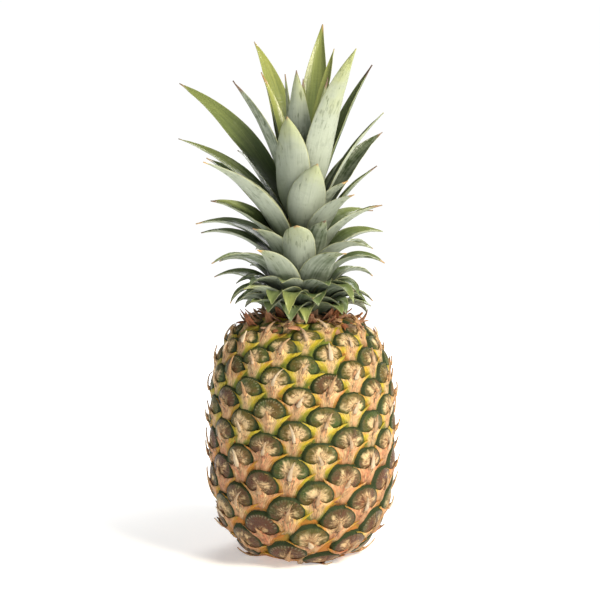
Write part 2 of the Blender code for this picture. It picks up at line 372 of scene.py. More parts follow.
@dataclass(frozen=True)
class Eyes:
    """How one eye of the fruit is shaped, in shares of the side of its square cell.

    The dome is a D on its back: its middle stands above the cell's middle, and it is cut off low.
    """

    half_width: float = 0.55
    middle: float = 0.08
    above: float = 0.44
    below: float = 0.34
    rise: float = 2.5 * MM
    # How high the rim stands and how deep the groove lies, each with its distance q and its width.
    rim: tuple[float, float, float] = (0.35 * MM, 0.93, 0.06)
    groove: tuple[float, float, float] = (-1.0 * MM, 1.07, 0.07)

    def let_distance(self, grow: Growth) -> None:
        """Names q, which is 0 in the dome's middle and 1 on its edge, from x and y."""
        grow.let(over=f"y - {self.middle}")
        grow.let(reach=f"{self.below} + {self.above - self.below} * (over > 0)")
        grow.let(q=f"sqrt((x / {self.half_width}) ** 2 + (over / reach) ** 2)")

    def distance(self, x: Array, y: Array) -> Array:
        """The same q on arrays."""
        over = y - self.middle
        reach = np.where(over > 0, self.above, self.below)
        return np.hypot(x / self.half_width, over / reach)

    def height(self, q: Array) -> Array:
        """How far the dome stands out where its distance is q: a thin rim, and a groove round it."""
        out = self.rise * np.clip(1 - q**2, 0, 1) ** 0.5
        for height, place, width in (self.rim, self.groove):
            out = out + height * np.exp(-(((q - place) / width) ** 2))
        return out


EYES = Eyes()


@dataclass(frozen=True)
class Rind(Finish):
    """The rind over the fused eyes: a waxed cuticle, grown and cured, not cut.

    It gives each eye a dark olive rim, widened by painted shade over the groove round it, a band with fine
    spokes and a cream scar in the middle.
    """

    name: str = "pineapple_rind"
    rim: str = "#26350E"
    band: str = "#46571F"
    band_olive: str = "#68561F"
    band_brown: str = "#623A26"
    scar: str = "#F0D2A0"
    scar_brown: str = "#A05F38"
    crease: str = "#3D2613"
    between: str = "#6A7420"
    between_ripe: str = "#B07028"
    bead: str = "#BDBB90"

    def dress(self, grow: Growth) -> Sockets:
        """Writes the eye's pattern over its cell: q is 1 on the dome's edge, turn goes round it."""
        grow.read("tone ripe")
        grow.let(place=grow.add("ShaderNodeUVMap", uv_map="eye").outputs[0])
        grow.let(x="place.x", y="place.y")
        grow.let(fine="noise(object, 900)", patch="noise(object, 170)", broad="noise(object, 38)")
        EYES.let_distance(grow)
        grow.let(
            edge="q + (fine - 0.5) * 0.14 + (patch - 0.5) * 0.10",
            turn="atan2(over, x)",
            spoke="noise(vec(turn * 1.6, q * 0.9, tone * 30), 3.0)",
            hair="noise(vec(turn * 6, q, tone * 70), 4.0)",
            olive="smooth(0.35, 0.65, broad + (patch - 0.5) * 0.6)",
            brown="smooth(0.25, 0.75, ripe * 0.8 + (patch - 0.5) * 0.7 + (tone - 0.5) * 0.5)",
            scarred=(
                "smooth(0.66, 0.18, q + (patch - 0.5) * 1.3 + (spoke - 0.5) * 0.6 + (tone - 0.5) * 0.4)"
            ),
            cracked="smooth(0.03, 0, abs(patch - 0.47)) + smooth(0.025, 0, abs(spoke - 0.42)) * 0.4",
            rimmed="smooth(0.82, 0.93, edge)",
            outside="smooth(1.04, 1.15, edge)",
            ring="smooth(0.10, 0.04, abs(q - 0.80))",
            knobs="smooth(0.55, 0.75, 0.5 + 0.5 * sin(turn * 26))",
            beads="knobs * ring * smooth(0.68, 0.84, tone) * (over > 0)",
        )
        grow.let(
            tanned="smooth(0.42, 0.7, spoke * 0.6 + patch * 0.4 + (ripe - 0.5) * 0.12)",
            scars="tint(scar, scar_brown, tanned)",
            ground="tint(between, between_ripe, smooth(0.2, 0.8, ripe + broad - 0.5))",
        )
        colour = grow.paint(
            "tint(band, band_olive, olive)",
            ("band_brown", "brown"),
            ("rim", "0.6 * smooth(0.46, 0.66, hair * 0.5 + spoke * 0.5) * smooth(0.25, 0.7, q)"),
            ("bead", "0.35 * smooth(0.60, 0.72, fine) * smooth(0.9, 0.6, q)"),
            ("scars", "scarred * 0.92"),
            ("crease", "cracked * smooth(0.75, 0.4, q) * 0.6"),
            ("bead", "beads * 0.4"),
            # The rim's own dark olive, widened over the groove round the dome and fading up the dome's side
            # as painted shade.
            ("rim", "min(rimmed + smooth(0.5, 0.95, q) * 0.35, 1)"),
            ("ground", "outside"),
        )
        relief = (
            "0.6 * spoke * smooth(0.2, 0.6, q) + 0.7 * hair + 0.6 * beads + 0.4 * fine + 1.0 * patch"
            " - 0.4 * cracked * smooth(0.75, 0.4, q)"
        )
        return {
            "Base Color": colour,
            "Roughness": "0.38 + 0.25 * scarred + 0.3 * (fine - 0.5) + 0.22 * rimmed",
            "Normal": grow.relief(relief, 0.9 * MM),
            "Specular IOR Level": 0.32,
        }


@dataclass(frozen=True)
class FleshyBract(Finish):
    """The bract under each eye: living leaf flesh, drying from its middle outwards.

    It gives yellow horns, an olive foot and a pinkish cream middle with long veins.
    """

    name: str = "fleshy_bract"
    horn: str = "#D4BE26"
    horn_ripe: str = "#DE8F28"
    horn_tip: str = "#B9AC4C"
    foot: str = "#6E7A22"
    foot_ripe: str = "#A8682A"
    middle: str = "#F6D49A"
    middle_pink: str = "#D48A62"
    crack: str = "#4E2E1C"

    def dress(self, grow: Growth) -> Sockets:
        """Writes the colours from the horns to the middle, and the veins and cracks."""
        grow.read("tone ripe", "place")
        grow.let(
            s="place.x",
            t="place.y * 0.5 + 0.5",
            vein="noise(vec(s * 6, t * 0.7, tone * 40), 3.4)",
            hair="noise(vec(s * 16, t * 0.9, tone * 80), 4.0)",
            patch="noise(object, 190)",
            blotch="noise(object, 75)",
            fine="noise(object, 1100)",
            aged="ripe + (patch - 0.5) * 0.8 + (blotch - 0.5) * 1.6",
        )
        grow.let(
            horns="tint(horn, horn_ripe, smooth(0.15, 0.75, aged))",
            feet="tint(foot, foot_ripe, smooth(0.2, 0.75, aged))",
            pinks="smooth(0.35, 0.7, vein * 0.7 + patch * 0.3 + (ripe - 0.45) * 0.2)",
            middles="tint(middle, middle_pink, pinks)",
            spread="0.62 + 0.40 * ripe + (blotch - 0.5) * 1.0",
            torn="(vein - 0.5) * 0.9 + (hair - 0.5) * 0.5",
            mid_share="smooth(spread, spread - 0.45, abs(s) * (1.5 - 0.5 * t) + torn)",
            split="smooth(0.52, 0.62, noise(object, 420)) * smooth(0.30, 0.05, abs(s)) * smooth(0.3, 0.8, t)",
            vein_cracks="smooth(0.05, 0.0, abs(vein - 0.42)) * smooth(0.6, 0.1, abs(s))",
            cracks="vein_cracks + 0.6 * smooth(0.6, 0.75, hair) + split",
        )
        colour = grow.paint(
            "tint(feet, horns, smooth(0.30, 0.85, t + (patch - 0.5) * 0.6))",
            ("horn_tip", "smooth(0.75, 1.0, abs(s)) * 0.5"),
            ("middles", "mid_share * smooth(0.05, 0.45, t)"),
            ("crack", "cracks * 0.7"),
            # Darker towards the bract's foot, and dark spots in patches.
            ("crack", "smooth(0.35, 0.0, t) * 0.3 + smooth(0.60, 0.75, patch) * 0.4"),
        )
        return {
            "Base Color": colour,
            "Roughness": "0.42 + 0.2 * mid_share",
            "Normal": grow.relief("vein * 1.8 + hair * 0.7 + patch * 0.7 + fine * 0.3 - cracks", 0.8 * MM),
        }


@dataclass(frozen=True)
class PaperyBract(Finish):
    """A bract's tip or a scale at the crown's foot: dead, dry and fibrous as thin paper.

    It gives pale cream to red brown blades with fine long fibres and no gloss.
    """

    name: str = "papery_bract"
    pale: str = "#E2CFB0"
    tan: str = "#C09A70"
    rust: str = "#A5603A"
    dark: str = "#54301F"

    def dress(self, grow: Growth) -> Sockets:
        """Writes the colours from pale paper to rusty scales, and the fibres."""
        grow.read("tone rusty", "place")
        grow.let(
            s="place.x",
            u="place.y * 0.5 + 0.5",
            fibre="noise(vec(s * 4, u * 0.7, tone * 60), 4.0)",
            patch="noise(object, 260)",
            paper="tint(pale, tan, smooth(0.35, 0.8, patch * 0.7 + tone * 0.5))",
            rusts="tint(rust, dark, smooth(0.4, 0.75, patch * 0.6 + fibre * 0.4))",
        )
        colour = grow.paint(
            "paper", ("rusts", "rusty * (0.75 + 0.5 * fibre)"), ("dark", "smooth(0.60, 0.75, fibre) * 0.45")
        )
        return {
            "Base Color": colour,
            "Roughness": 0.72,
            "Normal": grow.relief("fibre + patch * 0.4", 0.6 * MM),
            "Specular IOR Level": 0.3,
        }


@dataclass(frozen=True)
class CrownLeaf(Finish):
    """A crown leaf: a leathery cuticle, with a bloom of silver scales on its outer face.

    It gives a grey green outer face, streaked along where the bloom is rubbed off, a clean green
    inner face that turns to lime towards the light, pale thin edges and dried brown tips. Both
    faces darken towards the leaf's foot as painted shade.
    """

    name: str = "crown_leaf"
    silver: str = "#9AA393"
    rubbed: str = "#46553A"
    inner_deep: str = "#26331A"
    inner_bright: str = "#5E6F44"
    lime: str = "#9AA158"
    edge: str = "#A9AA6C"
    dry_tan: str = "#C3A066"
    dry_brown: str = "#6A5648"

    def dress(self, grow: Growth) -> Sockets:
        """Writes the bloom, the streaks, the edges and the dry tip."""
        grow.read("share side", "blade look tip")
        grow.let(
            bloom="look.x",
            bright="look.y",
            seed="look.z",
            out="tip.x",
            streak="noise(vec(blade.x, blade.y * 0.05, seed), 650)",
            hair="noise(vec(blade.x, blade.y * 0.03, seed), 1900)",
            ripple="noise(vec(blade.x * 0.35, blade.y, seed), 330)",
            patch="noise(blade, 75)",
            scuff="noise(vec(blade.x, blade.y * 0.22, seed), 700)",
            speck="noise(object, 1500)",
        )
        grow.let(
            worn="smooth(0.62, 0.74, scuff * 0.65 + patch * 0.5) * (0.25 + 0.5 * smooth(0.3, 0.7, share))",
            dusted="bloom + (streak - 0.5) * 1.3 + (patch - 0.5) * 1.1 + (ripple - 0.5) * 0.5 - worn * 0.8",
            sunlit="max(bright, 0) * smooth(0.25, 1.0, share + (streak - 0.5) * 0.5)",
        )
        # The inner face is darker towards the leaf's foot, and darker still where bright is below zero:
        # painted shade.
        inner = grow.paint(
            "tint(inner_deep, inner_bright, smooth(0.0, 0.9, share * 0.8 + streak * 0.4 + min(bright, 0)))",
            ("lime", "sunlit"),
            ("silver", "smooth(0.5, 1.2, dusted) * 0.35"),
            ("inner_deep", "smooth(0.55, 0.75, hair) * 0.3"),
        )
        outer = grow.paint(
            "tint(rubbed, silver, smooth(-0.1, 0.95, dusted))",
            ("lime", "sunlit * 0.8 * smooth(0.5, 1.0, share + (patch - 0.5) * 0.7)"),
            ("inner_deep", "worn * 0.35 + smooth(0.60, 0.8, hair) * 0.2"),
            # Painted shade: the outer face darkens towards the leaf's foot.
            ("inner_deep", "smooth(0.45, 0.0, share) * 0.45"),
        )
        grow.let(inner=inner, outer=outer, dry="tint(dry_tan, dry_brown, tip.z + (patch - 0.5) * 0.6)")
        colour = grow.paint(
            "tint(outer, inner, smooth(-0.1, 0.15, side))",
            ("edge", "smooth(0.92, 1.0, out) * 0.5"),
            ("dry", "smooth(-0.02, 0.03, share - 1 + tip.y + (streak - 0.5) * 0.12)"),
        )
        return {
            "Base Color": colour,
            "Roughness": "0.36 + 0.2 * smooth(0.2, -0.2, side) + 0.12 * (speck - 0.5)",
            "Normal": grow.relief("0.6 * streak + 0.1 * hair + 0.9 * ripple + 0.05 * speck", 0.5 * MM),
        }


@dataclass(frozen=True)
class Stalk(Finish):
    """The cut stalk and the crown's stem: pale fibrous wood, snapped and dried.

    It gives a tan ground with darker strands that end as dots on the scar.
    """

    name: str = "fibrous_stalk"
    pale: str = "#CDB98A"
    dark: str = "#7A5C36"

    def dress(self, grow: Growth) -> Sockets:
        """Writes the strands."""
        grow.let(strand="noise(vec(object.x, object.y, object.z * 0.1), 900)", patch="noise(object, 160)")
        return {
            "Base Color": "tint(pale, dark, smooth(0.45, 0.7, strand) * 0.8 + (patch - 0.5) * 0.4)",
            "Roughness": 0.8,
            "Normal": grow.relief("strand + patch", 0.4 * MM),
        }


@dataclass(frozen=True)
class PaintedBoard(Finish):
    """The studio's floor: smooth board in matt white paint, which glows as painted light, dimly round the
    fruit and fully further out.
    """

    name: str = "matt_white_board"
    white: str = "#F6F5F3"
    dull: str = "#F1F0EE"
    glow: str = "#FFFFFF"

    def dress(self, grow: Growth) -> Sockets:
        """Writes a faint unevenness of the paint, and the glow of the lit background further out."""
        return {
            "Base Color": "tint(white, dull, noise(object, 60) * 0.3)",
            "Roughness": 0.9,
            "Emission Color": linear(self.glow),
            # Painted light: the floor glows, dimly round the fruit so its shadow stays, and fully further
            # out.
            "Emission Strength": "0.38 + 0.62 * smooth(0.09, 0.34, length(object))",
        }


@dataclass
class Fruit:
    """The fruit: its body, its eyes on their spiral, and what grows on each eye."""

    radius: float = 59.7 * MM
    widest_level: float = 73 * MM
    lower_fullness: float = 2.8
    upper_fullness: float = 3.3
    rest_radius: float = 26 * MM
    eye_area: float = 424 * MM * MM
    eye_growth: float = 0.31
    eye_turn: float = 137.265
    most_tilt: float = radians(7)
    top_eye_azimuth: float = 195.0
    top_eye_share: float = 0.23
    around: int = 420
    rings: int = 222
    foot_rings: int = 8
    smooth_rings: int = 90
    samples: int = 2000
    scar_radius: float = 13 * MM
    scar_depth: float = 1.6 * MM
    scar_edge: float = 3 * MM
    crown_radius: float = 22 * MM
    top_fade: float = 12 * MM
    base_fade: float = 4 * MM
    height: float = field(init=False)

    def __post_init__(self) -> None:
        """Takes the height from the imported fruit, and draws what differs from eye to eye."""
        self.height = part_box("fruit")[1].z
        draw = np.random.default_rng(SEED)
        self.eye_azimuth, self.eye_along = self.eye_places()
        count = len(self.eye_along)
        self.tilt = self.most_tilt * draw.uniform(-1, 1, count)
        self.tone = draw.uniform(0, 1, count)
        self.eye_radius, height, _ = self.at(self.eye_along)
        self.cell = np.sqrt(self.eye_share(height)) * draw.uniform(0.96, 1.04, count)
        self.ripe = np.clip(0.15 + 0.75 * (1 - height / self.height) + draw.uniform(-0.3, 0.3, count), 0, 1)

    def eye_share(self, height: Array) -> Array:
        """The area of the skin that one eye takes at this height: the lower, the larger."""
        return self.eye_area * (1 + self.eye_growth * (1 - height / self.widest_level))

    def outline(self, points: int) -> tuple[Array, Array, Array]:
        """The outline from the top to the base's edge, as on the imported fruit.

        Args:
            points: How many points, evenly spaced.

        Returns:
            The radii, the heights and the lengths along the outline.
        """
        upper = self.height - self.widest_level
        lower = self.widest_level / bulge(self.rest_radius / self.radius, self.lower_fullness)
        rise = np.sin(np.linspace(pi / 2, 0, self.samples))
        fall = np.sin(np.linspace(0, pi / 2, self.samples)) * self.widest_level / lower
        halves = [bulge(rise, self.upper_fullness), bulge(fall, self.lower_fullness)]
        radius = self.radius * np.concatenate(halves)
        height = np.concatenate([rise * upper, -fall * lower]) + self.widest_level
        along = np.concatenate([[0], np.cumsum(np.hypot(np.diff(radius), np.diff(height)))])
        even = np.linspace(0, along[-1], points)
        return np.interp(even, along, radius), np.interp(even, along, height), even

    def at(self, along: Array) -> tuple[Array, Array, Array]:
        """The radius, the height and the outward slope at these lengths along the outline."""
        radii, heights, even = self.outline(self.samples)
        slope = np.arctan2(-np.gradient(heights), np.gradient(radii))
        return tuple(np.interp(along, even, values) for values in (radii, heights, slope))

    def eye_places(self) -> tuple[Array, Array]:
        """Each eye's azimuth and length along the outline, from the top down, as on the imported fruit."""
        radius, height, along = self.outline(self.samples)
        eyes_per_metre = 2 * pi * radius / self.eye_share(height)
        middle = (eyes_per_metre[1:] + eyes_per_metre[:-1]) / 2
        counted = np.concatenate([[0], np.cumsum(middle * np.diff(along))])
        number = np.arange(int(counted[-1] - self.top_eye_share))
        place = np.interp(number + self.top_eye_share, counted, along)
        return np.radians(self.top_eye_azimuth - number * self.eye_turn), place

    def in_eye(self, eye: Array, azimuth: Array, along: Array) -> tuple[Array, Array]:
        """Where a point lies in an eye's own cell.

        Args:
            eye: The eyes' numbers.
            azimuth: The points' azimuths.
            along: The points' lengths along the outline.

        Returns:
            x to the right and y up, in shares of the cell's side.
        """
        radius, _, _ = self.at(along)
        turn = (azimuth - self.eye_azimuth[eye] + pi) % (2 * pi) - pi
        across = turn * (radius + self.eye_radius[eye]) / 2
        up = self.eye_along[eye] - along
        lean, cell = self.tilt[eye], self.cell[eye]
        x, y = across * np.cos(lean) + up * np.sin(lean), up * np.cos(lean) - across * np.sin(lean)
        return x / cell, y / cell

    def nearest_eye(self, azimuth: Array, along: Array) -> tuple[Array, Array]:
        """The eye whose dome each point belongs to, and the point's distance q in it."""
        eyes = np.arange(len(self.eye_along))[None, :]
        q = EYES.distance(*self.in_eye(eyes, azimuth[:, None], along[:, None]))
        return q.argmin(axis=1), q.min(axis=1)

    def skin(self, material: Material) -> Object:
        """The rind: rings along the outline with every eye's dome, rim and groove raised on them."""
        radii, heights, along = self.outline(self.rings)
        slope = self.at(along)[2]
        azimuth = np.linspace(0, 2 * pi, self.around, endpoint=False)
        rows = []
        for ring in range(1, self.rings):
            q = self.nearest_eye(azimuth, np.full(self.around, along[ring]))[1]
            fade = (radii[ring] - self.crown_radius) / self.top_fade
            fade = fade if heights[ring] > self.widest_level else heights[ring] / self.base_fade
            out = EYES.height(q) * np.clip(fade, 0, 1)
            height = np.maximum(heights[ring] + out * cos(slope[ring]), 0)
            rows.append(stand(azimuth, radii[ring] + out * sin(slope[ring]), height))
        for share in np.linspace(1, 0, self.foot_rings + 1)[1:-1]:
            radius = self.rest_radius * share
            hollow = self.scar_depth * np.clip((self.scar_radius - radius) / self.scar_edge, 0, 1)
            rows.append(stand(azimuth, radius, hollow))
        points = np.concatenate([[[0, 0, self.height]], *rows, [[0, 0, self.scar_depth]]])
        mesh = mesh_of("fruit_skin", points, self.ring_faces(len(rows)), material)
        self.mark_eyes(mesh, len(rows), azimuth, along)
        return new_piece("fruit_skin", mesh)

    def scar(self, material: Material) -> Object:
        """The stub of the cut stalk in the base's hollow, clear of the floor."""
        sides, radius = 48, self.scar_radius - 0.5 * MM
        turn = np.linspace(pi / 2, 5 * pi / 2, sides, endpoint=False)
        low, high = stand(turn, 0.93 * radius, 0.4 * MM), stand(turn, radius, self.scar_depth + 0.2 * MM)
        wall = [(j, (j + 1) % sides, sides + (j + 1) % sides, sides + j) for j in range(sides)]
        faces = [range(sides - 1, -1, -1), range(sides, 2 * sides), *wall]
        return new_piece("stalk_scar", mesh_of("stalk_scar", np.concatenate([low, high]), faces, material))

    def ring_faces(self, rows: int) -> list[tuple[int, ...]]:
        """The faces of a closed body of rings between two poles, facing out."""
        last = 1 + rows * self.around
        step = [(j, (j + 1) % self.around) for j in range(self.around)]
        faces = [(0, 1 + a, 1 + b) for a, b in step]
        for row in range(rows - 1):
            upper = 1 + row * self.around
            lower = upper + self.around
            faces += [(upper + a, lower + a, lower + b, upper + b) for a, b in step]
        low = last - self.around
        return faces + [(low + a, last, low + b) for a, b in step]

    def mark_eyes(self, mesh: Mesh, rows: int, azimuth: Array, along: Array) -> None:
        """Gives each face its eye: where its corners lie in the cell, and the eye's tone and ripeness."""
        counts = np.array([polygon.loop_total for polygon in mesh.polygons])
        face_of_corner = np.repeat(np.arange(len(counts)), counts)
        corner_point = np.empty(len(mesh.loops), np.int32)
        mesh.loops.foreach_get("vertex_index", corner_point)
        beyond = along[-1] + self.rest_radius
        ring_along = np.concatenate([along[1:], np.linspace(along[-1], beyond, self.foot_rings + 1)[1:-1]])
        point_along = np.concatenate([[0], np.repeat(ring_along, self.around), [beyond]])[corner_point]
        point_azimuth = np.concatenate([[0], np.tile(azimuth, rows), [0]])[corner_point]
        first = np.concatenate([[0], np.cumsum(counts)[:-1]])
        turn = (point_azimuth - point_azimuth[first][face_of_corner] + pi) % (2 * pi) - pi
        middle_azimuth = point_azimuth[first] + np.bincount(face_of_corner, turn) / counts
        middle_along = np.bincount(face_of_corner, point_along) / counts
        # In parts, because every face is measured against every eye.
        parts = np.array_split(np.stack([middle_azimuth, middle_along]), rows // 4, axis=1)
        eye = np.concatenate([self.nearest_eye(*part)[0] for part in parts])
        x, y = self.in_eye(eye[face_of_corner], point_azimuth, point_along)
        layer = mesh.uv_layers.new(name="eye")
        layer.data.foreach_set("uv", np.stack([x, y], axis=1).astype(np.float32).ravel())
        keep_values(mesh, "tone", self.tone[eye], "FACE")
        keep_values(mesh, "ripe", self.ripe[eye], "FACE")

    def eye_points(self) -> Mesh:
        """A point in the middle of each eye that shows, with the eye's directions and values."""
        shown = self.eye_radius > self.crown_radius
        azimuth, tilt = self.eye_azimuth[shown], self.tilt[shown, None]
        radius, height, slope = self.at(self.eye_along[shown])
        right = stand(azimuth + pi / 2, 1, 0)
        up = np.cross(stand(azimuth, np.sin(slope), np.cos(slope)), right)
        points = stand(azimuth, radius, height)
        mesh = mesh_of("eye_points", points, [])
        keep_values(mesh, "middle", points)
        keep_values(mesh, "across", right * np.cos(tilt) + up * np.sin(tilt))
        keep_values(mesh, "up", up * np.cos(tilt) - right * np.sin(tilt))
        values = {"cell": self.cell, "tone": self.tone, "ripe": self.ripe, "rusty": 0.18 * self.tone}
        for name, each in values.items():
            keep_values(mesh, name, each[shown])
        return mesh

    def smooth_body(self) -> Object:
        """The body without its eyes, for the bracts to lie on: each point knows its outward direction."""
        radii, heights, along = self.outline(self.smooth_rings)
        azimuth = np.linspace(0, 2 * pi, self.around, endpoint=False)
        rows = [stand(azimuth, r, z) for r, z in zip(radii[1:], heights[1:])]
        ways = [stand(azimuth, sin(a), cos(a)) for a in self.at(along)[2][1:]]
        points = np.concatenate([[[0, 0, self.height]], *rows, [[0, 0, 0]]])
        mesh = mesh_of("smooth_body", points, self.ring_faces(len(rows)))
        keep_values(mesh, "way_out", np.concatenate([[[0, 0, 1]], *ways, [[0, 0, -1]]]))
        return new_piece("smooth_body", mesh)


class OnEyes(Enum):
    """What grows on each eye: its grid of points across, along and through."""

    BRACT = (13, 4, 2)
    TIP = (3, 8, 2)


def eye_growth(kind: OnEyes, body: Object, material: Material) -> GeometryGrowth:
    """Writes the tree that grows one closed bract or tip on every eye point, lying on the body.

    Args:
        kind: The bract or the tip.
        body: The smooth body to lie on.
        material: The piece's material.

    Returns:
        The tree.
    """
    bract_sizes = {"horn_reach": 0.74, "foot_drop": 0.80, "lift": 0.9 * MM, "thickness": 0.5 * MM}
    sizes = bract_sizes if kind is OnEyes.BRACT else {"tip_length": 0.42}
    grow = GeometryGrowth(f"{kind.name.title()} on eyes", sizes)
    grids = grow.grid_on_points(kind.value)
    grow.read("cell tone", "place middle across up")
    grow.let(s="place.x", t="place.y * 0.5 + 0.5", top="place.z * 0.5 + 0.5")
    grow.let(one="fract(tone * 17.3)", two="fract(tone * 43.7)")
    if kind is OnEyes.BRACT:
        grow.let(
            ridge="max(1 - abs(s) / 0.36, 0) ** 1.6",
            ragged="(noise(vec(s * 2.5, tone * 50, 0), 1.5) - 0.5) * 0.10",
            brow="0.02 - 0.19 * (1 - s * s) ** 1.2 + (0.20 + 0.16 * one) * ridge + ragged * (1 - ridge)",
            x="s * (0.34 + (horn_reach - 0.34) * t ** 3) * (0.92 + 0.16 * one) - 0.10 * (1 - t)",
            y="-foot_drop + (brow + foot_drop) * t + 0.08 * (two - 0.5) * s * t",
        )
    else:
        grow.let(
            three="fract(tone * 91.1)",
            slant="(one - 0.45) * 1.2",
            long="tip_length * (0.7 + 0.8 * two)",
            swell="sin(min(t + 0.12, 0.35) / 0.35 * 1.57) * max(1 - t, 0) ** 0.7",
            wide="(0.05 + 0.04 * three) * swell + 0.008",
            x="long * (t * sin(slant) * t + (three - 0.5) * 0.35 * t * t) + s * wide",
            y="-0.16 + long * t",
        )
    EYES.let_distance(grow)
    grow.let(dome=f"{EYES.rise} * max(1 - q * q, 0) ** 0.5")
    if kind is OnEyes.BRACT:
        grow.let(
            sunk="2.4 * mm * abs(s) ** 4 * (1 - t ** 3) + 1.4 * mm * smooth(0.25, 0, t)",
            flare="0.8 * mm * abs(s) ** 3 * t ** 4 + 0.7 * mm * ridge * t",
            upper="dome + lift * (0.4 + 0.6 * smooth(0, 0.6, t)) + flare - sunk",
            lower="upper - thickness - 2.4 * mm * smooth(1.0, 0.7, t)",
        )
    else:
        grow.let(
            upper="dome + (1.4 + 0.8 * t + 1.3 * three * t ** 3 + 0.5 * (1 - s * s)) * mm",
            lower="upper - 0.25 * mm - 0.5 * mm * (1 - t)",
        )
    grow.let(point="middle + across * (x * cell) + up * (y * cell)")
    info = grow.add("GeometryNodeObjectInfo", {"Object": body}, transform_space="RELATIVE")
    target, point = info.outputs["Geometry"], grow.known["point"]
    links = {0: target, "Source Position": point}
    near = grow.add("GeometryNodeProximity", links, target_element="FACES").outputs[0]
    links = {"Mesh": target, "Value": grow.stored("way_out", True), "Sample Position": point}
    way = grow.add("GeometryNodeSampleNearestSurface", links, data_type="FLOAT_VECTOR").outputs[0]
    grow.let(near=near, way=way)
    grow.let(set="near + normalize(way) * (lower + (upper - lower) * top)")
    grow.end(grids, "vec(set.x, set.y, max(set.z, 0.3 * mm))", material)
    return grow


@dataclass
class Leaf:
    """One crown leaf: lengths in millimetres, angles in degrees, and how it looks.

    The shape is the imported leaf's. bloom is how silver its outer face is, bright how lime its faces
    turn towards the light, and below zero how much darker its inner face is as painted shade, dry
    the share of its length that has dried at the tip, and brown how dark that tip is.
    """

    index: float
    length: float
    half_width: float
    base_share: float
    lean: float
    tip_lean: float
    widest: float
    fullness: float
    sweep: float = 0.0
    roll: float = 0.0
    gutter: float = 24.0
    turn: float = 0.0
    bloom: float = 0.6
    bright: float = 0.3
    dry: float = 0.03
    brown: float = 0.5


# The leaf's shape changes steadily up the crown, through these: index, length, half width, base share,
# lean, tip lean, widest and fullness.
STAGES = (
    Leaf(0, 32, 9.5, 0.72, 24, 145, 0.22, 1.5),
    Leaf(9, 38, 10.5, 0.73, 24, 125, 0.23, 1.5),
    Leaf(17, 46, 11.0, 0.73, 26, 108, 0.25, 1.5),
    Leaf(25, 55, 11.5, 0.70, 28, 94, 0.26, 1.6),
    Leaf(33, 66, 12.0, 0.62, 27, 76, 0.28, 1.6),
    Leaf(41, 86, 11.5, 0.55, 24, 56, 0.32, 1.7),
    Leaf(47, 106, 11.0, 0.42, 17, 38, 0.36, 1.9),
    Leaf(52, 100, 9.5, 0.36, 9, 22, 0.38, 1.9),
    Leaf(57, 70, 4.5, 0.42, 3, 5, 0.38, 1.7),
)

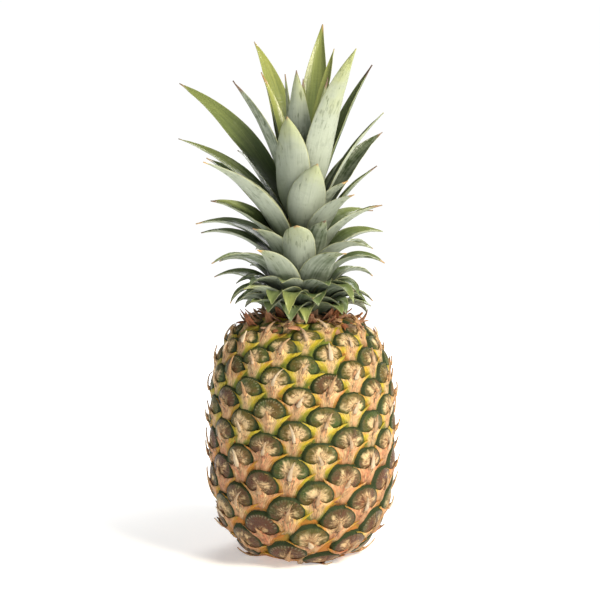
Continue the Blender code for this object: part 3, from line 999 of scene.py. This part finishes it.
# Leaves that grew their own way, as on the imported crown: only what differs from the steady change.
OWN_WAYS = {
    0: dict(turn=-34, length=28, half_width=8.0, lean=30, tip_lean=165),
    2: dict(turn=3, length=38, half_width=10.0, lean=28, tip_lean=100),
    3: dict(length=32, tip_lean=140),
    4: dict(turn=20, length=53, tip_lean=115, roll=15),
    5: dict(turn=-15, length=36, half_width=9.5, lean=26, tip_lean=168, fullness=1.5),
    7: dict(turn=8, length=36, half_width=10.0, lean=34, tip_lean=155),
    8: dict(turn=-14, length=36, half_width=9.5, lean=28, tip_lean=162, fullness=1.4),
    10: dict(turn=-3, length=48, half_width=12.0, lean=24, tip_lean=78, fullness=1.8),
    11: dict(length=38, tip_lean=128),
    12: dict(length=50, tip_lean=114, roll=15),
    13: dict(length=40, half_width=12.5, lean=24, tip_lean=84, sweep=22, fullness=1.8),
    15: dict(length=55, lean=32, tip_lean=118),
    16: dict(length=44, half_width=11.0, tip_lean=122, roll=-10),
    18: dict(turn=3, length=42, half_width=11.5, lean=26, tip_lean=50, widest=0.45, fullness=3.0),
    20: dict(length=60, half_width=10.0, tip_lean=101, roll=12),
    21: dict(turn=13, length=43, half_width=12.0, tip_lean=112),
    23: dict(turn=-5, length=38, lean=26, tip_lean=74),
    24: dict(length=46, half_width=12.5, tip_lean=98, roll=-15),
    25: dict(turn=18, length=68, half_width=10.0, lean=34, tip_lean=104, roll=15),
    26: dict(turn=10, length=35, half_width=10.4, lean=26, tip_lean=62),
    28: dict(length=60, half_width=13.5, tip_lean=80, roll=28),
    29: dict(length=53, half_width=10.5, lean=31, tip_lean=78, roll=-10),
    31: dict(turn=-28, length=88, half_width=11.0, lean=29, tip_lean=74),
    32: dict(turn=-2, length=48, half_width=11.0, lean=26, tip_lean=96, roll=-15),
    33: dict(length=78, half_width=12.0, lean=25, tip_lean=62, roll=22),
    34: dict(turn=10, length=47, half_width=11.0, lean=28, tip_lean=72),
    36: dict(turn=-10, length=53, half_width=9.0, lean=24, tip_lean=56),
    37: dict(turn=-5, length=58, half_width=7.0, lean=26, tip_lean=54, roll=-15),
    39: dict(turn=5, length=46, half_width=13.5, lean=32, tip_lean=16, widest=0.42, fullness=2.2, sweep=18),
    40: dict(turn=-20, length=82, half_width=9.5, lean=20, tip_lean=56, roll=-35),
    41: dict(turn=-13, length=93, half_width=8.0, lean=32, tip_lean=71, roll=25),
    42: dict(turn=8, length=36, half_width=9.0, lean=20, tip_lean=60),
    44: dict(
        turn=8, length=68, half_width=13.5, base_share=0.37, lean=16, tip_lean=22, fullness=3.0, sweep=8
    ),
    45: dict(turn=-5, length=82, half_width=6.5, lean=21, tip_lean=45),
    46: dict(length=125, half_width=10.0, lean=27, tip_lean=60, roll=35),
    47: dict(turn=15, length=112, half_width=12.0, lean=12, tip_lean=39, fullness=2.0),
    48: dict(turn=8, length=137, half_width=12.0, lean=15.5, tip_lean=25),
    49: dict(turn=-8, length=90, half_width=10.5, lean=11, tip_lean=38),
    50: dict(turn=28, length=100, half_width=9.0, lean=14.5, tip_lean=30, roll=-12),
    51: dict(length=128, half_width=10.0, lean=10, tip_lean=44),
    52: dict(turn=4, length=84, half_width=10.0, lean=6, tip_lean=15),
    53: dict(turn=15, length=104, half_width=7.0, lean=8, tip_lean=20),
    54: dict(turn=-22, length=86, half_width=8.0, lean=7, tip_lean=24),
    55: dict(turn=20, length=76),
    57: dict(turn=-15, length=75),
}

# Leaves with a look of their own.
OWN_LOOKS = {
    0: dict(bloom=0.2, bright=0.7, dry=0.0),
    2: dict(bloom=0.7, bright=0.7, dry=0.0),
    5: dict(bloom=0.35, bright=0.75, dry=0.0),
    10: dict(bloom=0.9, dry=0.08, brown=0.0),
    13: dict(bloom=0.55, dry=0.06, brown=0.1),
    18: dict(bloom=1.0, bright=0.6, dry=0.04, brown=0.5),
    29: dict(bloom=0.95, dry=0.12, brown=0.6),
    31: dict(bloom=0.9, bright=0.2),
    33: dict(bloom=0.3, bright=0.1),
    34: dict(bloom=1.0, bright=0.2),
    37: dict(bloom=0.4, bright=0.15, dry=0.1, brown=0.9),
    39: dict(bloom=1.1, bright=0.6, dry=0.02),
    # Leaf 40's bright below zero darkens its inner face: painted shade.
    40: dict(bloom=0.9, bright=-0.5, dry=0.06, brown=0.8),
    42: dict(bloom=0.85, dry=0.10, brown=0.1),
    44: dict(bloom=1.0, bright=0.8, dry=0.03, brown=0.6),
    46: dict(bloom=0.35, bright=0.45),
    47: dict(bloom=0.95, bright=1.0, dry=0.0),
    48: dict(bloom=0.2, bright=0.65, dry=0.02, brown=0.3),
    49: dict(bloom=0.5, bright=0.25, dry=0.10, brown=1.0),
    50: dict(bloom=0.25, bright=0.2, dry=0.10, brown=1.0),
    51: dict(bloom=0.35, bright=1.0, dry=0.03, brown=0.3),
    52: dict(bloom=0.95, bright=0.6),
    53: dict(bloom=0.25, bright=0.8, dry=0.04, brown=0.5),
    54: dict(bloom=0.2, bright=1.0, dry=0.09, brown=0.5),
    55: dict(bloom=0.3, bright=0.4, dry=0.08, brown=1.0),
}


# What a leaf's lengths and angles are given in. Its other sizes are shares.
DEGREES = ("lean", "tip_lean", "sweep", "roll", "gutter")
UNITS = {"length": MM, "half_width": MM, **dict.fromkeys(DEGREES, radians(1))}


@dataclass
class Crown:
    """The crown: its leaves, the small leaves at its foot, and the stem inside."""

    leaves: int = 58
    leaf_turn: float = 137.5
    front_leaf: int = 39
    lowest_foot: float = 0.8 * MM
    highest_foot: float = 4 * MM
    stem_radii: tuple[float, float] = (19 * MM, 5 * MM)
    clearance: float = 1.6 * MM
    foot_leaves: int = 41
    foot_tiers: int = 4
    foot_scales: int = 64
    foot_step: float = 5 * MM
    seed_step: float = 0.0137
    # The usual bloom and brightness of the leaves with numbers below each of these.
    looks: tuple[tuple[int, float, float], ...] = ((20, 0.55, 0.25), (46, 0.75, 0.3), (58, 0.45, 0.6))
    stem_low: float = field(init=False)
    stem_high: float = field(init=False)

    def __post_init__(self) -> None:
        """Takes the stem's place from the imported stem."""
        low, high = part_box("crown_stem")
        self.stem_low, self.stem_high = low.z, high.z

    def stem_radius(self, height: float) -> float:
        """The stem's radius at this height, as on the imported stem."""
        share = (height - self.stem_low) / (self.stem_high - self.stem_low)
        return self.stem_radii[0] + (self.stem_radii[1] - self.stem_radii[0]) * share**1.15

    def leaf(self, index: int, draw: np.random.Generator) -> Leaf:
        """The leaf with this number, counted from 0 at the bottom of the crown.

        Args:
            index: The leaf's number.
            draw: Where the small differences in look come from.

        Returns:
            The leaf.
        """
        stations = [stage.index for stage in STAGES]
        names = ("length", "half_width", "base_share", "lean", "tip_lean", "widest", "fullness")
        shape = {n: float(np.interp(index, stations, [getattr(s, n) for s in STAGES])) for n in names}
        bloom, bright = next(usual for end, *usual in self.looks if index < end)
        look = dict(
            bloom=bloom + draw.uniform(-0.25, 0.25),
            bright=bright + draw.uniform(-0.15, 0.2),
            dry=draw.uniform(0.0, 0.09),
            brown=draw.uniform(0, 1),
        )
        own = {**OWN_WAYS.get(index, {}), **OWN_LOOKS.get(index, {})}
        return replace(Leaf(index=index, **shape), **{**look, **own})

    def values(self, leaf: Leaf, foot: float, azimuth: float) -> dict[str, float]:
        """What the leaf tree's inputs take for one leaf that stands at this height and azimuth."""
        names = [part.name for part in fields(leaf) if part.name not in ("index", "turn")]
        values = {name: getattr(leaf, name) * UNITS.get(name, 1) for name in names}
        radius = self.stem_radius(foot) + self.clearance
        place = {"azimuth": azimuth, "foot_radius": radius, "foot_height": foot}
        return {**values, **place, "seed": leaf.index * self.seed_step}

    def growth(self, material: Material) -> GeometryGrowth:
        """Writes the tree that bends a closed tube into one leaf along a circular arc."""
        sizes = {**self.values(STAGES[0], self.stem_low, 0), "thickness": 1.7 * MM, "edge_wave": 0.7 * MM}
        grow = GeometryGrowth("Crown leaf", sizes)
        tube = {"Vertices": 28, "Side Segments": 44, "Fill Segments": 1, "Radius": 1.0, "Depth": 1.0}
        blade = grow.add("GeometryNodeMeshCylinder", tube, fill_type="TRIANGLE_FAN").outputs[0]
        grow.let(p=grow.add("GeometryNodeInputPosition").outputs[0])
        grow.let(
            v="p.x",
            side="p.y",
            u="p.z + 0.5",
            low="base_share + (1 - base_share) * sin(min(u / widest, 1) * pi / 2)",
            high="1 - max((u - widest) / (1 - widest), 0) ** fullness",
            wide="max(half_width * min(low, high), 0.00022)",
            clasp="half_width * base_share / foot_radius",
            fold="clasp + (2 * gutter - clasp) * min(u / 0.7, 1)",
            bend="tip_lean - lean",
            beta="lean + bend * u",
            curve="length / bend",
            y0="foot_radius + curve * (cos(lean) - cos(beta))",
            z0="foot_height + curve * (sin(beta) - sin(lean))",
            x0="length * sweep * u * u / 2",
            sw="sweep * u",
            ahead="vec(sin(sw), cos(sw) * sin(beta), cos(sw) * cos(beta))",
            level="vec(cos(sw), -sin(sw) * sin(beta), -sin(sw) * cos(beta))",
            upright="cross(level, ahead)",
            turned="roll * min(u * 2, 1)",
            across="level * cos(turned) - upright * sin(turned)",
            up="upright * cos(turned) + level * sin(turned)",
            ring="wide / fold",
            wave="(noise(vec(v * 0.8, u * 5, seed * 90), 1.3) - 0.5) * edge_wave * 2 * u * (0.4 + abs(v))",
            thick="thickness * (1 - 0.6 * u) * 0.5 * side + wave",
            q="vec(x0, y0, z0) + across * (ring * sin(fold * v) - thick * sin(fold * v))"
            " + up * (ring * (1 - cos(fold * v)) + thick * cos(fold * v))",
            x="q.x * cos(azimuth) + q.y * sin(azimuth)",
            y="q.x * sin(azimuth) - q.y * cos(azimuth)",
        )
        stored = {
            "blade": "vec(v * wide, u * length, seed)", "look": "vec(bloom, bright, seed)",
            "tip": "vec(abs(v), dry, brown)", "share": "u * 1.0", "side": "side * 1.0",
        }
        for name, formula in stored.items():
            blade = grow.store(blade, name, grow.get(formula))
        grow.end(blade, "vec(x, y, q.z)", material)
        return grow

    def build_leaves(self, material: Material) -> None:
        """Grows the leaves, each in the place of its packed one, and the small ones at the foot."""
        draw = np.random.default_rng(SEED + 1)
        tree = self.growth(material)
        low, high = self.stem_low + self.lowest_foot, self.stem_high - self.highest_foot
        grown = []
        for number in range(self.leaves):
            leaf = self.leaf(number, draw)
            foot = low + (high - low) * number / (self.leaves - 1)
            azimuth = radians((number - self.front_leaf) * self.leaf_turn + leaf.turn)
            grown.append((new_piece(f"crown_leaf_{number + 1:02d}"), f"leaf_{number + 1:02d}"))
            tree.grow_on(grown[-1][0], self.values(leaf, foot, azimuth))
        for number in range(self.foot_leaves):
            leaf = replace(
                self.leaf(0, draw), index=-1 - number, turn=0, length=draw.uniform(22, 32),
                half_width=draw.uniform(9, 12), lean=draw.uniform(22, 45), tip_lean=draw.uniform(85, 165),
                bloom=draw.uniform(0.2, 0.9), bright=draw.uniform(-0.3, 0.35), base_share=0.9, fullness=1.7,
            )
            foot = low + self.foot_step * (number % self.foot_tiers)
            azimuth = 2 * pi * (number + draw.uniform(-0.3, 0.3)) / self.foot_leaves
            grown.append((new_piece(f"foot_leaf_{number + 1:02d}"), ""))
            tree.grow_on(grown[-1][0], self.values(leaf, foot, azimuth))
        settle([piece for piece, _ in grown])
        for piece, node in grown:
            hand_over(piece, node)

    def dress_stem(self, material: Material) -> None:
        """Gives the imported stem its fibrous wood."""
        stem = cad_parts["crown_stem"]
        stem.data.materials.clear()
        stem.data.materials.append(material)
        log.info("crown stem dressed")


def scale_growth(material: Material) -> GeometryGrowth:
    """Writes the tree that grows one dry, curling scale on every point."""
    grow = GeometryGrowth("Dry scales", {"thickness": 0.5 * MM, "cup": 2.2 * MM})
    grids = grow.grid_on_points((5, 8, 2))
    grow.read("long wide curl tone", "place middle across up outward")
    grow.let(
        s="place.x",
        t="place.y * 0.5 + 0.5",
        ragged="(noise(vec(s * 2, t * 5, tone * 90), 1.2) - 0.5) * 1.6",
        half="wide * (max(1 - t, 0) ** 0.7 * (0.75 + 0.5 * t)) * (1 + 0.5 * ragged * t) + 0.00025",
        bend="curl * t",
        reach="long * t * cos(bend)",
        rise="long * t * sin(bend) - cup * s * s * (1 - t) + ragged * 0.0012 * t",
        lift="rise + (place.z - 0.8) * thickness * (1 - 0.6 * t)",
        q="middle + up * reach + across * (s * half) + outward * lift",
    )
    grow.end(grids, "vec(q.x, q.y, max(q.z, 0.3 * mm))", material)
    return grow


@dataclass
class DryScales:
    """The dead scales at the crown's foot and round the fruit's base."""

    fruit: Fruit
    # The radius of each row round the crown's foot in millimetres, and how many scales stand in it.
    crown_rows: tuple[tuple[float, int], ...] = ((20.5, 20), (25, 22), (30, 24), (35, 20))
    steep_radius: float = 24
    base_count: int = 15

    def points(self) -> Mesh:
        """Where each scale grows, which way it points, and its size, curl and colour."""
        draw = np.random.default_rng(SEED + 2)
        rows = []
        radii, heights, along = self.fruit.outline(self.fruit.samples)
        upper = heights > self.fruit.widest_level
        for radius, count in self.crown_rows:
            place = np.interp(radius * MM, radii[upper], along[upper])
            for number in range(count):
                azimuth = 2 * pi * (number + draw.uniform(-0.35, 0.35)) / count
                lift = draw.uniform(0.1, 0.7) if radius > self.steep_radius else draw.uniform(0.7, 1.25)
                size = draw.uniform(0.75, 1.25)
                rows.append((azimuth, place + draw.uniform(-1, 1) * MM, lift, 11 * size, 3.6 * size, 0.9))
        for _ in range(self.base_count):
            place = min(along[-1] - draw.uniform(-4, 12) * MM, along[-1])
            size, azimuth = draw.uniform(0.6, 1.3), draw.uniform(0, 2 * pi)
            rows.append((azimuth, place, draw.uniform(0.05, 0.4), 12 * size, 4.5 * size, 0.15))
        azimuth, place, lift, long, wide, rusty = np.array(rows).T
        radius, height, slope = self.fruit.at(place)
        outward = stand(azimuth, np.sin(slope), np.cos(slope))
        down = stand(azimuth, np.cos(slope), -np.sin(slope))
        turn, lift = draw.uniform(-0.6, 0.6, len(azimuth))[:, None], lift[:, None]
        heading = down * np.cos(turn) + stand(azimuth + pi / 2, 1, 0) * np.sin(turn)
        up = heading * np.cos(lift) + outward * np.sin(lift)
        across = np.cross(up, outward)
        across /= np.linalg.norm(across, axis=1)[:, None]
        points = stand(azimuth, radius, height) + outward * 0.6 * MM
        mesh = mesh_of("scale_points", points, [])
        values = {
            "middle": points, "across": across, "up": up, "outward": np.cross(across, up),
            "long": long * MM, "wide": wide * MM, "curl": draw.uniform(-0.9, 0.7, len(azimuth)),
            "tone": draw.uniform(0, 1, len(azimuth)), "rusty": rusty * draw.uniform(0.4, 1.1, len(azimuth)),
        }
        for name, each in values.items():
            keep_values(mesh, name, each)
        return mesh

    def build(self, material: Material) -> None:
        """Grows the scales as one piece."""
        piece = new_piece("dry_scales", self.points())
        scale_growth(material).grow_on(piece, {})
        settle([piece])
        hand_over(piece)


def build_fruit(fruit: Fruit, stalk: Material) -> None:
    """Builds the rind with the stalk's scar, and a bract and a tip on every eye."""
    hand_over(fruit.skin(Rind().material()), "fruit")
    hand_over(fruit.scar(stalk))
    body = fruit.smooth_body()
    finishes = {OnEyes.BRACT: FleshyBract().material(), OnEyes.TIP: PaperyBract().material()}
    grown = []
    for kind, material in finishes.items():
        piece = new_piece(f"eye_{kind.name.lower()}s", fruit.eye_points())
        eye_growth(kind, body, material).grow_on(piece, {})
        grown.append(piece)
    settle(grown)
    bpy.data.objects.remove(body)
    for piece, slot in zip(grown, ("skin", "dry_bract")):
        hand_over(piece)


@dataclass
class Studio:
    """A plain white floor, soft lamps, and the camera at the height of the fruit's shoulder."""

    distance: float = 0.8
    elevation: float = 4.0
    aim: float = 0.175
    view_width: float = 0.396
    # How far right and up the view is moved at the fruit.
    offset: tuple[float, float] = (-1.32 * MM, -7.26 * MM)
    sensor: float = 36
    ambient: float = 0.20
    backdrop: float = 0.82
    floor_side: float = 6.0
    # Each lamp's name, place, the height that it shines at, side, watts and colour.
    lamps: tuple = (
        ("key", (0.85, -0.70, 0.95), 0.15, 0.45, 28, "#FFF5E2"),
        ("fill", (-0.9, -0.8, 0.6), 0.15, 0.9, 1.2, "#F8FAFF"),
        ("back", (0.2, 0.9, 0.9), 0.25, 0.6, 8, "#FFFFFF"),
    )

    def camera(self) -> None:
        """Makes the camera, a little above level and in front."""
        data = bpy.data.cameras.new("camera")
        data.sensor_width = self.sensor
        data.lens = data.sensor_width * self.distance / self.view_width
        data.shift_x, data.shift_y = (move / self.view_width for move in self.offset)
        camera = new_piece("camera", data)
        rise = radians(self.elevation)
        camera.location = (0, -self.distance * cos(rise), self.aim + self.distance * sin(rise))
        camera.rotation_euler = (pi / 2 - rise, 0, 0)
        bpy.context.scene.camera = camera

    def hang_lamps(self) -> None:
        """Hangs the square soft lamps."""
        for name, place, aim, side, watts, tone in self.lamps:
            data = bpy.data.lights.new(name, "AREA")
            data.size, data.energy, data.color = side, watts, linear(tone)[:3]
            lamp = new_piece(name, data)
            lamp.location = place
            lamp.rotation_euler = (Vector((0, 0, aim)) - Vector(place)).to_track_quat("-Z", "Y").to_euler()

    def build(self) -> None:
        """Makes the floor, the lamps, the surrounding light and the camera."""
        scene = bpy.context.scene
        side = self.floor_side / 2
        corners = np.array([[-side, -side, 0], [side, -side, 0], [side, side, 0], [-side, side, 0]])
        floor = new_piece("floor", mesh_of("floor", corners, [(0, 1, 2, 3)], PaintedBoard().material()))
        scene.world = bpy.data.worlds.new("studio")
        scene.world.use_nodes = True
        sky = Growth(scene.world.node_tree)
        background = sky.tree.nodes["Background"].inputs
        background["Color"].default_value = linear("#FFFFFF")
        sky.let(seen=sky.add("ShaderNodeLightPath").outputs["Is Camera Ray"])
        sky.tree.links.new(sky.get(f"{self.ambient} + {self.backdrop} * seen"), background["Strength"])
        scene.view_settings.view_transform = "Standard"
        self.hang_lamps()
        self.camera()


def main() -> None:
    """Builds the pineapple and its studio."""
    logging.basicConfig(level=logging.INFO, format="%(message)s")
    fruit, stalk = Fruit(), Stalk().material()
    build_fruit(fruit, stalk)
    crown = Crown()
    crown.build_leaves(CrownLeaf().material())
    crown.dress_stem(stalk)
    DryScales(fruit).build(PaperyBract().material())
    Studio().build()


if __name__ == "__main__":
    main()
